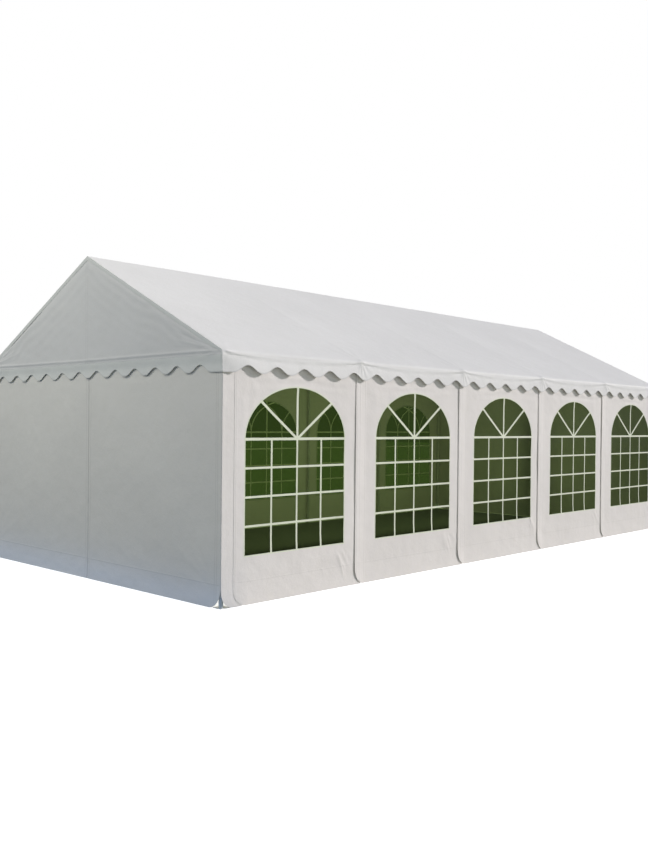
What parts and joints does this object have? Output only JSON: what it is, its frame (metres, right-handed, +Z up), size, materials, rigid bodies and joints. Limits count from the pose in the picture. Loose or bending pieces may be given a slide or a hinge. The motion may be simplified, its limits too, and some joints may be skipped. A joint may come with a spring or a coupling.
{
  "type": "marquee tent",
  "caption": "Gable-roofed marquee tent: a steel tube frame under a white sheet cover with a scalloped valance, sheet walls and round-headed clear windows along both sides.",
  "frame": {"origin": "on the ground, under the middle of the tent", "axes": "+Z up, +X along the ridge, -Y out of the front side wall"},
  "size_m": [10.07, 5.07, 3.8],
  "materials": {
    "cover_sheet": "satin white coated sheet",
    "wall_sheet": "satin white coated sheet",
    "window_film": "clear film with an olive tint",
    "steel": "galvanised"
  },
  "bodies": {
    "root": {"front_post_1": "steel", "front_rafter_1": "steel", "front_post_2": "steel", "front_rafter_2": "steel", "front_post_3": "steel", "front_rafter_3": "steel", "front_post_4": "steel", "front_rafter_4": "steel", "front_post_5": "steel", "front_rafter_5": "steel", "front_post_6": "steel", "front_rafter_6": "steel", "front_eave_rail": "steel", "front_panel_1": "wall_sheet", "front_window_1": "window_film", "front_panel_2": "wall_sheet", "front_window_2": "window_film", "front_panel_3": "wall_sheet", "front_window_3": "window_film", "front_panel_4": "wall_sheet", "front_window_4": "window_film", "front_panel_5": "wall_sheet", "front_window_5": "window_film", "rear_post_1": "steel", "rear_rafter_1": "steel", "rear_post_2": "steel", "rear_rafter_2": "steel", "rear_post_3": "steel", "rear_rafter_3": "steel", "rear_post_4": "steel", "rear_rafter_4": "steel", "rear_post_5": "steel", "rear_rafter_5": "steel", "rear_post_6": "steel", "rear_rafter_6": "steel", "rear_eave_rail": "steel", "rear_panel_1": "wall_sheet", "rear_window_1": "window_film", "rear_panel_2": "wall_sheet", "rear_window_2": "window_film", "rear_panel_3": "wall_sheet", "rear_window_3": "window_film", "rear_panel_4": "wall_sheet", "rear_window_4": "window_film", "rear_panel_5": "wall_sheet", "rear_window_5": "window_film", "ridge_rail": "steel", "left_gable_tie": "steel", "left_gable_top": "cover_sheet", "left_gable_wall_front": "wall_sheet", "left_gable_wall_rear": "wall_sheet", "right_gable_tie": "steel", "right_gable_top": "cover_sheet", "right_gable_wall_front": "wall_sheet", "right_gable_wall_rear": "wall_sheet", "roof_cover": "cover_sheet", "valance": "cover_sheet"}
  },
  "joints": []
}
